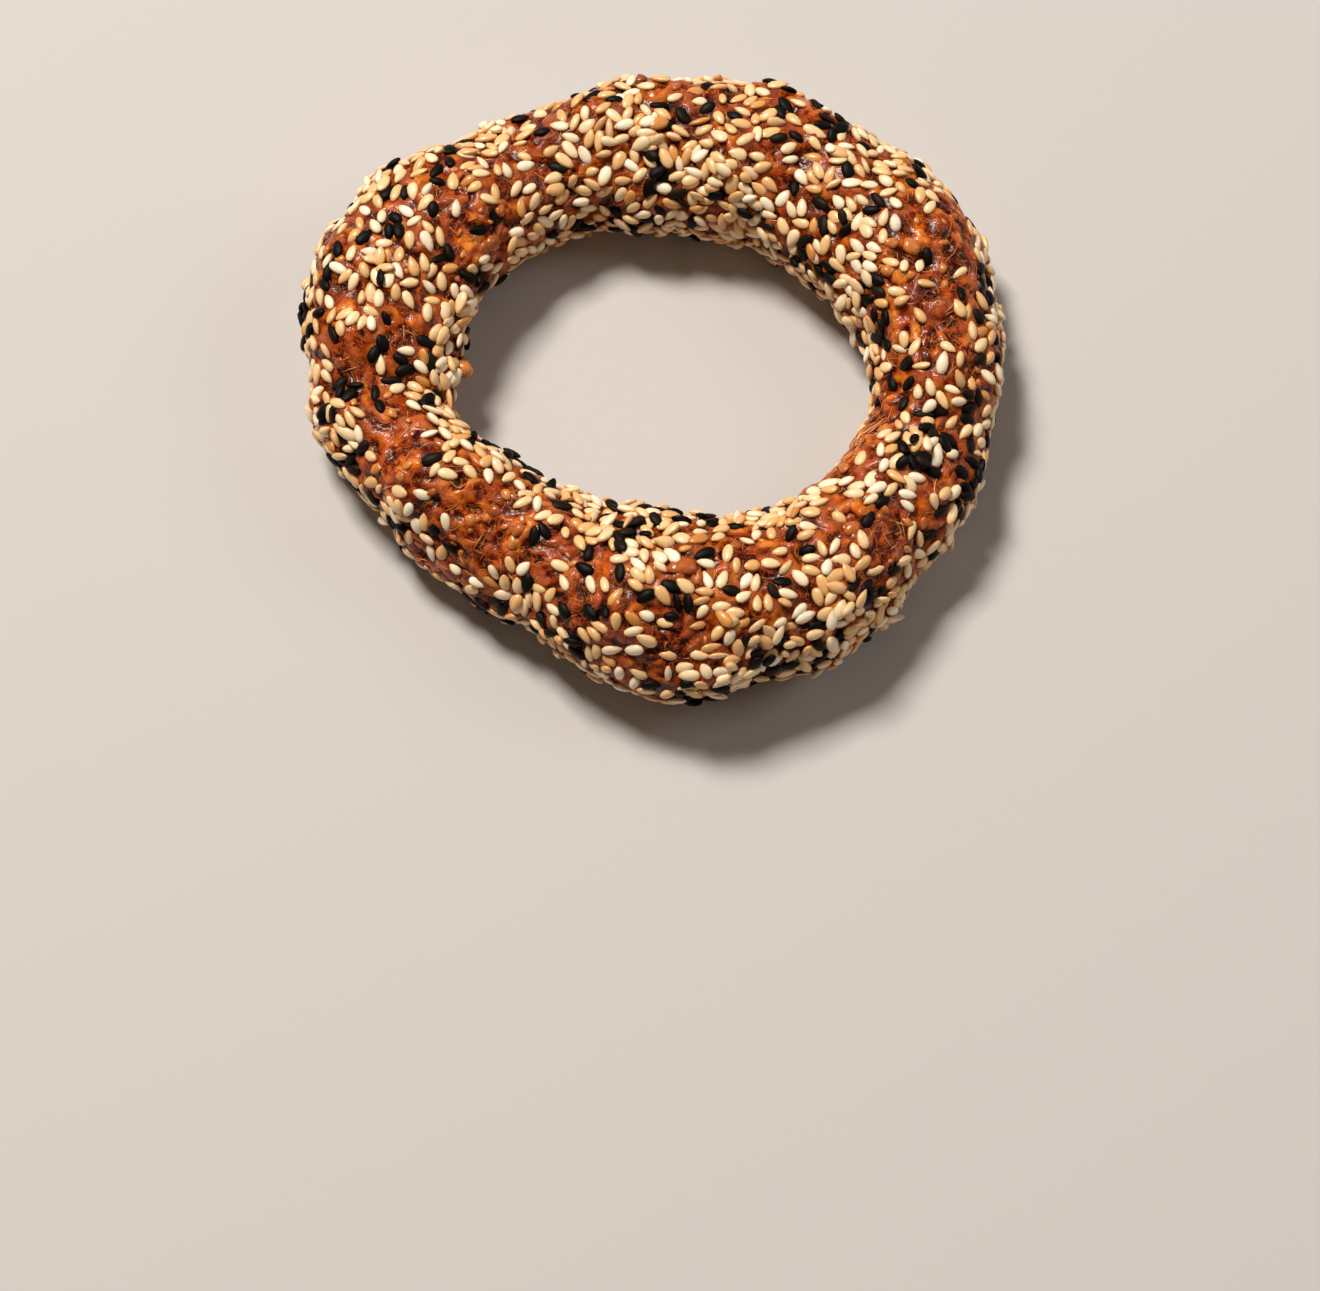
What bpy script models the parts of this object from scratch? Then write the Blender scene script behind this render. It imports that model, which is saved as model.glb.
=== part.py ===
"""A Jerusalem bagel: one baked ring of dough, rolled in pale and black sesame seeds.

Metres, +Z up. The ring lies on its flat underside at z = 0 and +X runs along its longest side.
Run it with: blender --background --python part.py
"""

import math
import random

import bmesh
import bpy
from mathutils import Matrix, Vector, noise

MM = 0.001

# The ring's form, as stations every 30 degrees anticlockwise from +X
RING_RADII = (42.1, 43.8, 42.1, 41.4, 41.9, 43.6, 41.5, 34.2, 30.9, 34.4, 36.5, 39.2)
DOUGH_HALF_WIDTHS = (9.8, 12.6, 12.4, 12.0, 10.5, 13.5, 10.8, 10.8, 11.2, 14.4, 12.9, 10.6)
MEAN_HALF_WIDTH = sum(DOUGH_HALF_WIDTHS) / len(DOUGH_HALF_WIDTHS)
HEIGHT_SHARE = 0.92  # the dough's half height over its half width, both evened towards the mean
SINK_SHARE = 0.9  # the middle's height over the half height, so that the underside is flat

# Hand-rolled dough swells and dips, broad waves first
LUMP_WAVES = ((12.0, 1.7), (6.0, 0.9))  # wavelength and height, both in mm

# Knobs of the dough, and below zero its dips, which run in a row where the rolled rope turns:
# ring angle, angle round the dough from outward, radius, height
KNOBS = (
    (176, 168, 2.2, 1.9),
    (28, 66, 3.2, 1.0),
    (14, 78, 2.6, 0.9),
    (205, 70, 3.4, 1.0),
    (222, 58, 2.8, 0.9),
    (236, 84, 3.0, 0.9),
    (262, 62, 3.0, 0.8),
    (131, 100, 2.8, 0.9),
    (305, 40, 2.8, 0.9),
    (331, 84, 2.6, 0.8),
    (68, 30, 2.8, 0.8),
    (102, 64, 2.6, 0.8),
    (180, 48, 3.4, -1.1),
    (181, 78, 3.6, -1.4),
    (183, 108, 3.6, -1.3),
    (186, 138, 3.4, -1.0),
    (348, 58, 3.4, -1.0),
    (351, 88, 3.6, -1.3),
    (354, 118, 3.4, -1.1),
)

# A sesame seed is a flat drop
SEED_LENGTH = 3.2 * MM
SEED_WIDTH = 1.85 * MM
SEED_THICKNESS = 1.15 * MM
SEED_TAPER = 0.42  # how much slimmer the pointed end is
SEED_SIDES = 5
SEED_RINGS = 4
SEED_RISE = 0.3 * MM  # how far the seed's middle stands above the dough
SEED_TILT = math.radians(9)

# A fused seed costs about 50 triangles, so only a share of the real coat is fused
SEED_COUNT = 174
SEED_SPACING = 6.2 * MM
SEED_TRIES = 40000  # throws, of which the first SEED_COUNT that land clear of the rest are kept
BLACK_SHARE = 0.2
FLOOR_CLEARANCE = 1.1 * MM  # no seed is fused lower, so the underside stays flat
DRAW = 2718  # what the seeds' random places and turns start from

DOUGH_STEPS_ALONG = 76
DOUGH_STEPS_ROUND = 20
SHARPEST_SMOOTH_EDGE = math.radians(50)

CRUST_COLOUR = (0.36, 0.105, 0.03, 1)
CRUST_ROUGHNESS = 0.42
PALE_SEED_COLOUR = (0.76, 0.52, 0.27, 1)
PALE_SEED_ROUGHNESS = 0.45
BLACK_SEED_COLOUR = (0.012, 0.012, 0.014, 1)
BLACK_SEED_ROUGHNESS = 0.5


def clear_scene():
    for thing in list(bpy.data.objects):
        bpy.data.objects.remove(thing)


def make_material(name, colour, roughness):
    material = bpy.data.materials.new(name)
    material.use_nodes = True
    shader = material.node_tree.nodes["Principled BSDF"]
    shader.inputs["Base Color"].default_value = colour
    shader.inputs["Roughness"].default_value = roughness
    shader.inputs["Metallic"].default_value = 0.0
    return material


def between(stations, angle):
    """The smooth value at an angle, from a closed row of evenly spaced stations."""
    count = len(stations)
    place = (angle / math.tau * count) % count
    first = math.floor(place)
    t = place - first
    before, start, end, after = (stations[(first + k) % count] for k in (-1, 0, 1, 2))
    rise = end - before
    bend = 2 * before - 5 * start + 4 * end - after
    twist = 3 * (start - end) + after - before
    return (2 * start + rise * t + bend * t**2 + twist * t**3) / 2


def plain_point(angle, turn, outward=0.0):
    """A point of the smooth ring: angle runs round the ring, turn round the dough from outward."""
    half_width = between(DOUGH_HALF_WIDTHS, angle) * MM
    half_height = (half_width + MEAN_HALF_WIDTH * MM) / 2 * HEIGHT_SHARE
    reach = between(RING_RADII, angle) * MM + (half_width + outward) * math.cos(turn)
    height = half_height * SINK_SHARE + (half_height + outward) * math.sin(turn)
    return Vector((reach * math.cos(angle), reach * math.sin(angle), height))


def lump_height(angle, turn):
    """How far the dough stands out of the smooth ring there."""
    place = plain_point(angle, turn)
    height = sum(
        noise.noise(place / (wavelength * MM)) * rise * MM for wavelength, rise in LUMP_WAVES
    )
    for knob_angle, knob_turn, radius, rise in KNOBS:
        middle = plain_point(math.radians(knob_angle), math.radians(knob_turn))
        height += rise * MM * math.exp(-(((place - middle).length / (radius * MM)) ** 2))
    return height


def outline_middle():
    """The middle of the ring's outline, seen from above."""
    rim = [plain_point(math.radians(a), 0) for a in range(360)]
    middles = [(min(p[k] for p in rim) + max(p[k] for p in rim)) / 2 for k in (0, 1)]
    return Vector((*middles, 0))


MIDDLE = outline_middle()


def dough_point(angle, turn, outward=0.0):
    """A point of the baked dough, flat on the underside, with the ring's middle at the origin."""
    point = plain_point(angle, turn, lump_height(angle, turn) + outward) - MIDDLE
    point.z = max(point.z, 0.0)
    return point


def make_dough():
    """A plain ring spun from a circle, then shaped point by point."""
    ring_radius = sum(RING_RADII) / len(RING_RADII) * MM
    dough_radius = MEAN_HALF_WIDTH * MM
    shape = bmesh.new()
    upright = Matrix.Translation((ring_radius, 0, 0)) @ Matrix.Rotation(math.pi / 2, 4, "X")
    bmesh.ops.create_circle(shape, segments=DOUGH_STEPS_ROUND, radius=dough_radius, matrix=upright)
    bmesh.ops.spin(
        shape,
        geom=shape.verts[:] + shape.edges[:],
        cent=(0, 0, 0),
        axis=(0, 0, 1),
        angle=math.tau,
        steps=DOUGH_STEPS_ALONG,
        use_merge=True,
    )
    for vert in shape.verts:
        angle = math.atan2(vert.co.y, vert.co.x)
        turn = math.atan2(vert.co.z, math.hypot(vert.co.x, vert.co.y) - ring_radius)
        vert.co = dough_point(angle, turn)
    bmesh.ops.triangulate(shape, faces=shape.faces[:])
    bmesh.ops.recalc_face_normals(shape, faces=shape.faces[:])
    mesh = bpy.data.meshes.new("bagel")
    shape.to_mesh(mesh)
    shape.free()
    dough = bpy.data.objects.new("bagel", mesh)
    bpy.context.scene.collection.objects.link(dough)
    return dough


def make_seed_mesh(name, material):
    """A flat drop lying along X, its pointed end at -X."""
    shape = bmesh.new()
    lying = Matrix.Rotation(math.pi / 2, 4, "Y")
    half = SEED_LENGTH / 2
    bmesh.ops.create_uvsphere(
        shape, u_segments=SEED_SIDES, v_segments=SEED_RINGS, radius=half, matrix=lying
    )
    for vert in shape.verts:
        to_round_end = (half - vert.co.x) / SEED_LENGTH
        slim = 1 - SEED_TAPER * to_round_end**2
        vert.co.y *= slim * SEED_WIDTH / SEED_LENGTH
        vert.co.z *= slim * SEED_THICKNESS / SEED_LENGTH
    mesh = bpy.data.meshes.new(name)
    shape.to_mesh(mesh)
    shape.free()
    mesh.materials.append(material)
    return mesh


def seed_places(draw):
    """Places for the seeds, evenly spread over the dough, clear of its underside."""
    places = []
    widest = max(RING_RADII) + max(DOUGH_HALF_WIDTHS)
    for _ in range(SEED_TRIES):
        angle, turn = draw.uniform(0, math.tau), draw.uniform(0, math.tau)
        point = plain_point(angle, turn)
        if draw.random() > math.hypot(point.x, point.y) / (widest * MM):
            continue
        point = dough_point(angle, turn)
        if point.z < FLOOR_CLEARANCE:
            continue
        if all((point - other).length > SEED_SPACING for other in places):
            places.append(point)
        if len(places) == SEED_COUNT:
            break
    return places


def lay_seeds(meshes, dough):
    """Lays the seeds flat on the dough, each turned its own way, in a collection of their own."""
    draw = random.Random(DRAW)
    heap = bpy.data.collections.new("seeds")
    bpy.context.scene.collection.children.link(heap)
    for place in seed_places(draw):
        _, place, facing, _ = dough.closest_point_on_mesh(place)
        upright = facing.to_track_quat("Z", "X").to_matrix().to_4x4()
        spin = Matrix.Rotation(draw.uniform(0, math.tau), 4, "Z")
        tilt = Matrix.Rotation(draw.uniform(-SEED_TILT, SEED_TILT), 4, "Y")
        kind = 1 if draw.random() < BLACK_SHARE else 0
        seed = bpy.data.objects.new("seed", meshes[kind])
        seed.matrix_world = Matrix.Translation(place + facing * SEED_RISE) @ upright @ spin @ tilt
        heap.objects.link(seed)
    return heap


def fuse(dough, heap):
    """One union joins the seeds to the dough. The loose seeds are then removed."""
    joined = dough.modifiers.new("seeds on the dough", "BOOLEAN")
    joined.operation = "UNION"
    joined.operand_type = "COLLECTION"
    joined.collection = heap
    joined.solver = "EXACT"
    joined.material_mode = "TRANSFER"
    bpy.context.view_layer.objects.active = dough
    bpy.ops.object.modifier_apply(modifier=joined.name)
    for seed in list(heap.objects):
        bpy.data.objects.remove(seed)
    bpy.data.collections.remove(heap)


def main():
    clear_scene()
    dough = make_dough()
    dough.data.materials.append(make_material("baked crust", CRUST_COLOUR, CRUST_ROUGHNESS))
    pale = make_material("hulled sesame", PALE_SEED_COLOUR, PALE_SEED_ROUGHNESS)
    black = make_material("black sesame", BLACK_SEED_COLOUR, BLACK_SEED_ROUGHNESS)
    kinds = (make_seed_mesh("pale seed", pale), make_seed_mesh("black seed", black))
    fuse(dough, lay_seeds(kinds, dough))
    dough.data.shade_smooth()
    dough.data.set_sharp_from_angle(angle=SHARPEST_SMOOTH_EDGE)


main()
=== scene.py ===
"""The looks of a Jerusalem bagel: its baked crust, strands and crumbs of dough, and sesame.

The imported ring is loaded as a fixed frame, in metres with +Z up. Every piece is made round it.
"""

import math
import random
from collections import namedtuple
from functools import lru_cache

import bmesh
import bpy
import numpy as np
from mathutils import Matrix, Vector, noise
from mathutils.bvhtree import BVHTree
from mathutils.kdtree import KDTree


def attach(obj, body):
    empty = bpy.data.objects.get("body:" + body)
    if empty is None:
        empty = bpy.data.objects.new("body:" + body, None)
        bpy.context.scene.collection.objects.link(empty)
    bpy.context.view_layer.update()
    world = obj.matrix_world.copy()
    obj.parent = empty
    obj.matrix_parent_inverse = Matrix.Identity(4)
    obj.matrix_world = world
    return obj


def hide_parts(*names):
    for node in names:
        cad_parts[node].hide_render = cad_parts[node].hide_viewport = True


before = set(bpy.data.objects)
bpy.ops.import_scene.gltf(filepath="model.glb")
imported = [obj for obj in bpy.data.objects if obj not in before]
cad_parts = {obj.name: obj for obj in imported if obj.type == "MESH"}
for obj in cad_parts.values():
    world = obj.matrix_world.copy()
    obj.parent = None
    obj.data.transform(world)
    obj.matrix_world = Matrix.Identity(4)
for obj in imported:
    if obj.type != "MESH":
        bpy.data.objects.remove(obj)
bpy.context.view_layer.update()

MM = 0.001

PALE, GOLDEN, BLACK = "sesame_pale", "sesame_golden", "sesame_black"
# A laid seed. Its length, side and up are vectors as long as the seed is that way.
Seed = namedtuple("Seed", "kind middle length side up bend roundness tone")

# The ring's form, as stations every 30 degrees anticlockwise from +X, the same as the solid's
RING_RADII = (42.1, 43.8, 42.1, 41.4, 41.9, 43.6, 41.5, 34.2, 30.9, 34.4, 36.5, 39.2)
DOUGH_HALF_WIDTHS = (9.8, 12.6, 12.4, 12.0, 10.5, 13.5, 10.8, 10.8, 11.2, 14.4, 12.9, 10.6)
MEAN_HALF_WIDTH = sum(DOUGH_HALF_WIDTHS) / len(DOUGH_HALF_WIDTHS)
HEIGHT_SHARE = 0.92  # the dough's half height over its half width, both evened towards the mean
SINK_SHARE = 0.9  # the middle's height over the half height, so that the underside is flat
LUMP_WAVES = ((12.0, 1.7), (6.0, 0.9))  # wavelength and height, both in mm

# Knobs of the dough, and below zero its dips, which run in a row where the rolled rope turns:
# ring angle, angle round the dough from outward, radius, height
KNOBS = (
    (176, 168, 2.2, 1.9),
    (28, 66, 3.2, 1.0),
    (14, 78, 2.6, 0.9),
    (205, 70, 3.4, 1.0),
    (222, 58, 2.8, 0.9),
    (236, 84, 3.0, 0.9),
    (262, 62, 3.0, 0.8),
    (131, 100, 2.8, 0.9),
    (305, 40, 2.8, 0.9),
    (331, 84, 2.6, 0.8),
    (68, 30, 2.8, 0.8),
    (102, 64, 2.6, 0.8),
    (180, 48, 3.4, -1.1),
    (181, 78, 3.6, -1.4),
    (183, 108, 3.6, -1.3),
    (186, 138, 3.4, -1.0),
    (348, 58, 3.4, -1.0),
    (351, 88, 3.6, -1.3),
    (354, 118, 3.4, -1.1),
)

# The crust's mesh has a point about every 0.44 mm, which carries its crumb
CRUST_STEPS_ALONG = 560
CRUST_STEPS_ROUND = 168
SHEET_DIGITS = 6  # a place on the sheet is rounded to these, so that its two edges meet
SHEET_GAP = 0.02 * MM  # points nearer than this become one, which closes the sheet
SEED_BED = 0.5 * MM  # the crust's flat underside lies this high, on the seeds pressed into it
CRUST_SINK = 0.58 * MM  # how far the crust lies under the solid's skin, which has fewer seeds

# The crumb that stands out of the crust: pillows, folded ridges and crags, each width and height
PILLOW_WIDTH, PILLOW_HEIGHT = 3.2 * MM, 0.8 * MM
RIDGE_WIDTH, RIDGE_HEIGHT = 2.4 * MM, 0.34 * MM
CRAG_WIDTH, CRAG_HEIGHT = 0.95 * MM, 0.17 * MM
PILLOW_LEVEL = 0.45  # where a pillow's edge is level with the dough
RIDGE_LEVEL, RIDGE_FALL = 0.6, 2.0  # a fold's height, and how fast it falls off to its sides
PIT_WIDTH, PIT_DEPTH = 2.1 * MM, 1.7 * MM  # pits open where a slow pattern passes PIT_LEVEL
PIT_LEVEL = 0.25
SWIRL_WIDTH = 4.0 * MM  # how slowly the crumb's rows wander
SWIRL_REACH, RIDGE_SWIRL = 0.6, 1.5  # how far they wander, and how much farther the folds do
# Where the wandering is read for each axis. noise_vector isn't used, as it starts from the clock.
SWIRL_SHIFTS = (Vector((9.3, -1.5, -7.9)), Vector((-3.7, 12.4, 5.1)), Vector((6.2, 8.8, -14.6)))
# Painted shade round a seed on the crust is darkest up to the first of these, and gone at the
# second
SEED_SHADE_REACH = (1.1 * MM, 2.1 * MM)

# How a place on the dough is felt out: the steps that show which way it faces, in radians along
# the ring and round the dough, and in mm where a probe starts over it and how far it reaches
FACING_ALONG, FACING_ROUND = 0.04, 0.12
PROBE_START, PROBE_REACH = 4, 9

# Where the coat is thin or crowded: ring angle, angle round the dough, radius in mm, change
BARE_PATCHES = (
    (193, 92, 5.5, 0.8),
    (202, 72, 4.0, 0.5),
    (227, 66, 7.5, 0.95),
    (216, 74, 4.0, 0.5),
    (250, 62, 5.0, 0.6),
    (278, 96, 3.0, 0.5),
    (290, 105, 5.0, 0.5),
    (266, 24, 5.0, 0.6),
    (318, 90, 4.0, 0.45),
    (24, 76, 6.0, 0.8),
    (10, 100, 4.0, 0.5),
    (348, 122, 4.5, 0.6),
    (336, 148, 4.5, 0.7),
    (322, 158, 4.5, 0.7),
    (178, 64, 3.5, 0.45),
    (168, 118, 3.5, 0.4),
    (139, 126, 5.5, 0.75),
    (155, 32, 3.0, 0.5),
    (300, 52, 4.5, 0.5),
    (84, 52, 5.0, 0.4),
    (60, 100, 6.0, 0.4),
    (112, 96, 5.0, 0.3),
    (171, 174, 2.4, 1.2),
    (272, 44, 8.0, 0.2),
    (318, 48, 6.0, 0.22),
)
CROWDED_RIDGES = (
    (168, 165, 8.0, 0.4),
    (186, 150, 6.0, 0.4),
    (206, 130, 6.0, 0.4),
    (232, 132, 6.0, 0.4),
    (256, 128, 7.0, 0.4),
    (272, 118, 6.0, 0.35),
    (258, 10, 9.0, 0.4),
    (240, 8, 7.0, 0.35),
    (90, 175, 12.0, 0.35),
    (60, 175, 9.0, 0.3),
    (165, 5, 9.0, 0.3),
    (190, 10, 8.0, 0.3),
    (340, 92, 5.5, 0.3),
    (312, 124, 5.5, 0.25),
    (312, 10, 9.0, 0.35),
    (288, 8, 8.0, 0.3),
    (336, 8, 8.0, 0.3),
)
# Where black seeds gather: ring angle, angle round the dough, radius in mm, change
BLACK_DRIFTS = (
    (182, 78, 4.5, 0.6),
    (144, 118, 4.0, 0.55),
    (284, 120, 3.0, 0.2),
    (0, 111, 4.5, 0.4),
    (18, 38, 4.0, 0.5),
    (196, 4, 4.0, 0.4),
    (238, 0, 5.0, 0.4),
    (60, 60, 5.0, 0.3),
)
COAT_SHARE = 0.73  # how much of the dough the coat covers where nothing above changes it
THINNEST_COAT = 0.24
COAT_WAVE = 11.0 * MM  # how slowly the coat thickens and thins, from a place in the noise
COAT_WAVE_SHIFT = Vector((3, 7, 1))
COAT_UNEVENNESS = 0.5
COAT_POWER = 3  # how strongly thin places turn seeds away

# A sesame seed is a flat drop
SEED_LENGTH = 3.0 * MM
SEED_WIDTH = 1.74 * MM
SEED_THICKNESS = 1.0 * MM
# How fast a seed widens from its tip and from its round end, for the drops and for the ovals
DROP, OVAL = (0.86, 0.5), (0.6, 0.5)
SEED_SIDES = 8
SEED_RINGS = 6
FACE_FALL = 0.6  # a seed keeps its thickness towards its ends longer than its width
# The share of its tip's tint that a seed's rim takes, and how slowly it fades over the faces
RIM_SHARE, RIM_HEIGHT = 0.7, 0.32

# How seeds vary: spreads as shares of the size, and lowest and highest
SIZE_SPREAD, LENGTH_SPREAD, WIDTH_SPREAD = 0.08, 0.05, 0.07
THICKNESSES = (0.8, 1.15)
BENDS = (-0.12, 0.12)
ROUNDNESSES = {PALE: (0.0, 1.1), GOLDEN: (0.0, 1.1), BLACK: (0.6, 1.3)}  # 0 a drop, 1 an oval

# How the coat is laid: each throw lands a seed if the best of a few spins clears the rest
DRAW = 4127  # what every random place and size starts from
SEED_TRIES = 60000
SEED_SPINS = 8
SPIN_SPREAD = 0.85  # how far seeds turn from lying along the ring, in radians
# The discs that a seed covers: how far along it from its middle, and the radius
SEED_DISCS = ((-0.9 * MM, 0.5 * MM), (0.0, 0.82 * MM), (0.85 * MM, 0.66 * MM))
SEED_FEET = (-1.1, 1.1)  # where along it, in mm, a seed rests on the crust
# Overlaps, as shares: past the first a seed lies on the others, past the next two it is turned away
FIRST_OVERLAP, DEEPEST_OVERLAP, SECOND_OVERLAP = 0.2, 0.55, 0.15
PILING, PILED_FROM = 2.5, 0.8  # how readily seeds pile up, from this much coat on
LEAN_SPREAD, PILED_LEANS = 0.1, (0.1, 0.35)  # in radians, on the crust and on other seeds
ROLL_SPREAD, EDGE_ROLL, EDGE_SHARE = 0.16, 0.9, 0.07  # the last share of seeds lies on edge
SEED_RISES, PILED_RISE = (0.08, 0.28), 0.5  # in mm, over the crust and over other seeds
GLAZED_SINK = 0.22 * MM  # how much deeper the toasted seeds lie, as dough ran over them
FLAT_SPREAD = 0.09 * MM  # the seeds pressed flat under the ring lie up to this far apart in height
GOLDEN_SHARE = 0.08
BLACK_SHARE, BLACK_CLUSTERING = 0.15, 0.7
FEWEST_BLACK, MOST_BLACK = 0.05, 0.75
CLUSTER_WIDTH = 7 * MM
CLUSTER_SHIFT = Vector((11, 2, 4))


def linear(hex_colour):
    """An sRGB hex colour as the linear colour that a shader takes."""
    shares = [int(hex_colour[k : k + 2], 16) / 255 for k in (1, 3, 5)]
    return (*(s / 12.92 if s <= 0.04045 else ((s + 0.055) / 1.055) ** 2.4 for s in shares), 1.0)


def between(stations, angle):
    """The smooth value at an angle, from a closed row of evenly spaced stations."""
    count = len(stations)
    place = (angle / math.tau * count) % count
    first = math.floor(place)
    t = place - first
    before, start, end, after = (stations[(first + k) % count] for k in (-1, 0, 1, 2))
    rise = end - before
    bend = 2 * before - 5 * start + 4 * end - after
    twist = 3 * (start - end) + after - before
    return (2 * start + rise * t + bend * t**2 + twist * t**3) / 2


@lru_cache(maxsize=None)
def section(angle):
    """The ring's radius and the dough's half width and half height at an angle."""
    half_width = between(DOUGH_HALF_WIDTHS, angle) * MM
    half_height = (half_width + MEAN_HALF_WIDTH * MM) / 2 * HEIGHT_SHARE
    return between(RING_RADII, angle) * MM, half_width, half_height


def plain_point(angle, turn, outward=0.0):
    """A point of the smooth ring: angle runs round the ring, turn round the dough from outward."""
    ring_radius, half_width, half_height = section(angle)
    reach = ring_radius + (half_width + outward) * math.cos(turn)
    height = half_height * SINK_SHARE + (half_height + outward) * math.sin(turn)
    return Vector((reach * math.cos(angle), reach * math.sin(angle), height))


def on_ring(spots):
    """Each spot's middle on the smooth ring, with its radius in metres and its last value."""
    return [
        (plain_point(math.radians(angle), math.radians(turn)), radius * MM, value)
        for angle, turn, radius, value in spots
    ]


def spot_sum(spots, place):
    """The spots' values at a place, each fading out over its radius."""
    return sum(
        value * math.exp(-(((place - middle).length / radius) ** 2))
        for middle, radius, value in spots
    )


KNOB_SPOTS = on_ring(KNOBS)
BARE_SPOTS = on_ring(BARE_PATCHES)
CROWDED_SPOTS = on_ring(CROWDED_RIDGES)
BLACK_SPOTS = on_ring(BLACK_DRIFTS)


def lump_height(place):
    """How far the dough stands out of the smooth ring at a place on it."""
    waves = sum(noise.noise(place / (wave * MM)) * rise for wave, rise in LUMP_WAVES)
    return (waves + spot_sum(KNOB_SPOTS, place)) * MM


def outline_middle():
    """The middle of the ring's outline, seen from above."""
    rim = [plain_point(math.radians(a), 0) for a in range(360)]
    middles = [(min(p[k] for p in rim) + max(p[k] for p in rim)) / 2 for k in (0, 1)]
    return Vector((*middles, 0))


MIDDLE = outline_middle()


def dough_point(angle, turn, outward=0.0):
    """A point of the dough under its crumb, with the ring's middle at the origin."""
    place = plain_point(angle, turn)
    point = plain_point(angle, turn, lump_height(place) + outward) - MIDDLE
    point.z = max(point.z, SEED_BED)
    return point


def coat_wanted(place):
    """How much of the crust the coat covers at a place on the smooth ring, from 0 to 1."""
    drift = noise.noise(place / COAT_WAVE + COAT_WAVE_SHIFT) * COAT_UNEVENNESS
    wanted = COAT_SHARE + drift - spot_sum(BARE_SPOTS, place) + spot_sum(CROWDED_SPOTS, place)
    return min(1.0, max(THINNEST_COAT, wanted))


def crumb_height(place):
    """How far the crumb stands out of the dough: soft pillows with folded, craggy skin on them."""
    swirl = Vector([noise.noise(place / SWIRL_WIDTH + s) for s in SWIRL_SHIFTS]) * SWIRL_REACH
    pillow = PILLOW_LEVEL - noise.voronoi(place / PILLOW_WIDTH + swirl)[0][0]
    fold = noise.noise(place / RIDGE_WIDTH + swirl * RIDGE_SWIRL)
    ridge = RIDGE_LEVEL - RIDGE_FALL * abs(fold)
    crag = noise.noise(place / CRAG_WIDTH)
    pit = max(0.0, noise.noise(place / PIT_WIDTH - swirl) - PIT_LEVEL)
    standing = pillow * PILLOW_HEIGHT + ridge * RIDGE_HEIGHT + crag * CRAG_HEIGHT
    return standing - pit * PIT_DEPTH


def make_crust():
    """A fine sheet rolled into the ring, each point lifted by the dough's lumps and its crumb."""
    shape = bmesh.new()
    bmesh.ops.create_grid(
        shape, x_segments=CRUST_STEPS_ALONG, y_segments=CRUST_STEPS_ROUND, size=0.5
    )
    crag = shape.verts.layers.float.new("crag")
    for vert in shape.verts:
        angle = round(vert.co.x + 0.5, SHEET_DIGITS) * math.tau
        turn = round(vert.co.y + 0.5, SHEET_DIGITS) * math.tau
        place = plain_point(angle, turn)
        height = crumb_height(place)
        vert[crag] = height / PILLOW_HEIGHT
        vert.co = dough_point(angle, turn, height - CRUST_SINK)
    bmesh.ops.remove_doubles(shape, verts=shape.verts[:], dist=SHEET_GAP)
    bmesh.ops.recalc_face_normals(shape, faces=shape.faces[:])
    under = BVHTree.FromBMesh(shape)
    mesh = bpy.data.meshes.new("crust")
    shape.to_mesh(mesh)
    shape.free()
    mesh.shade_smooth()
    crust = bpy.data.objects.new("crust", mesh)
    bpy.context.scene.collection.objects.link(crust)
    return crust, under


def paint_shade_round_seeds(crust, seeds):
    """Marks the crust near each seed, where its material paints shade round the seed, darker nearer
    it.
    """
    heap = KDTree(len(seeds))
    for number, seed in enumerate(seeds):
        heap.insert(seed.middle, number)
    heap.balance()
    near, far = SEED_SHADE_REACH
    seed_shade = [
        min(1.0, max(0.0, (far - heap.find(vert.co)[2]) / (far - near)))
        for vert in crust.data.vertices
    ]
    crust.data.attributes.new("seed_shade", "FLOAT", "POINT").data.foreach_set("value", seed_shade)


def facing(angle, turn):
    """The way that the dough faces at a place, with its crumb and small lumps smoothed over."""
    along = dough_point(angle + FACING_ALONG, turn) - dough_point(angle - FACING_ALONG, turn)
    round_dough = dough_point(angle, turn + FACING_ROUND) - dough_point(angle, turn - FACING_ROUND)
    return along.cross(round_dough).normalized(), along.normalized()


def down_to_crust(under, point, out):
    """The crust's point straight under one that stands off it."""
    hit = under.ray_cast(point + out * PROBE_START * MM, -out, PROBE_REACH * MM)[0]
    return hit or under.find_nearest(point)[0]


class Coat:
    """The seeds laid so far, as discs that the next seed has to clear."""

    CELL = 4 * MM

    def __init__(self):
        self.cells = {}

    def cell(self, point):
        return tuple(math.floor(v / self.CELL) for v in point)

    def near(self, point):
        x, y, z = self.cell(point)
        found = []
        for i in (x - 1, x, x + 1):
            for j in (y - 1, y, y + 1):
                for k in (z - 1, z, z + 1):
                    found += self.cells.get((i, j, k), ())
        return found

    def add(self, point, radius, layer):
        self.cells.setdefault(self.cell(point), []).append((point, radius, layer))


def crowding(neighbours, middle, axis):
    """The deepest overlap with the seeds laid so far, as a share, in the first and second layer."""
    deepest = [0.0, 0.0]
    for offset, radius in SEED_DISCS:
        spot = middle + axis * offset
        for point, other, layer in neighbours:
            share = 1 - (spot - point).length / (radius + other)
            if share > deepest[layer]:
                deepest[layer] = share
    return deepest


def draw_kind(draw, place):
    """A seed's kind. Black seeds gather in drifts, and the rest are pale or toasted through."""
    cluster = noise.noise(place / CLUSTER_WIDTH + CLUSTER_SHIFT) * BLACK_CLUSTERING
    black_share = BLACK_SHARE + cluster + spot_sum(BLACK_SPOTS, place)
    if draw.random() < min(MOST_BLACK, max(FEWEST_BLACK, black_share)):
        return BLACK
    return GOLDEN if draw.random() < GOLDEN_SHARE else PALE


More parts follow.
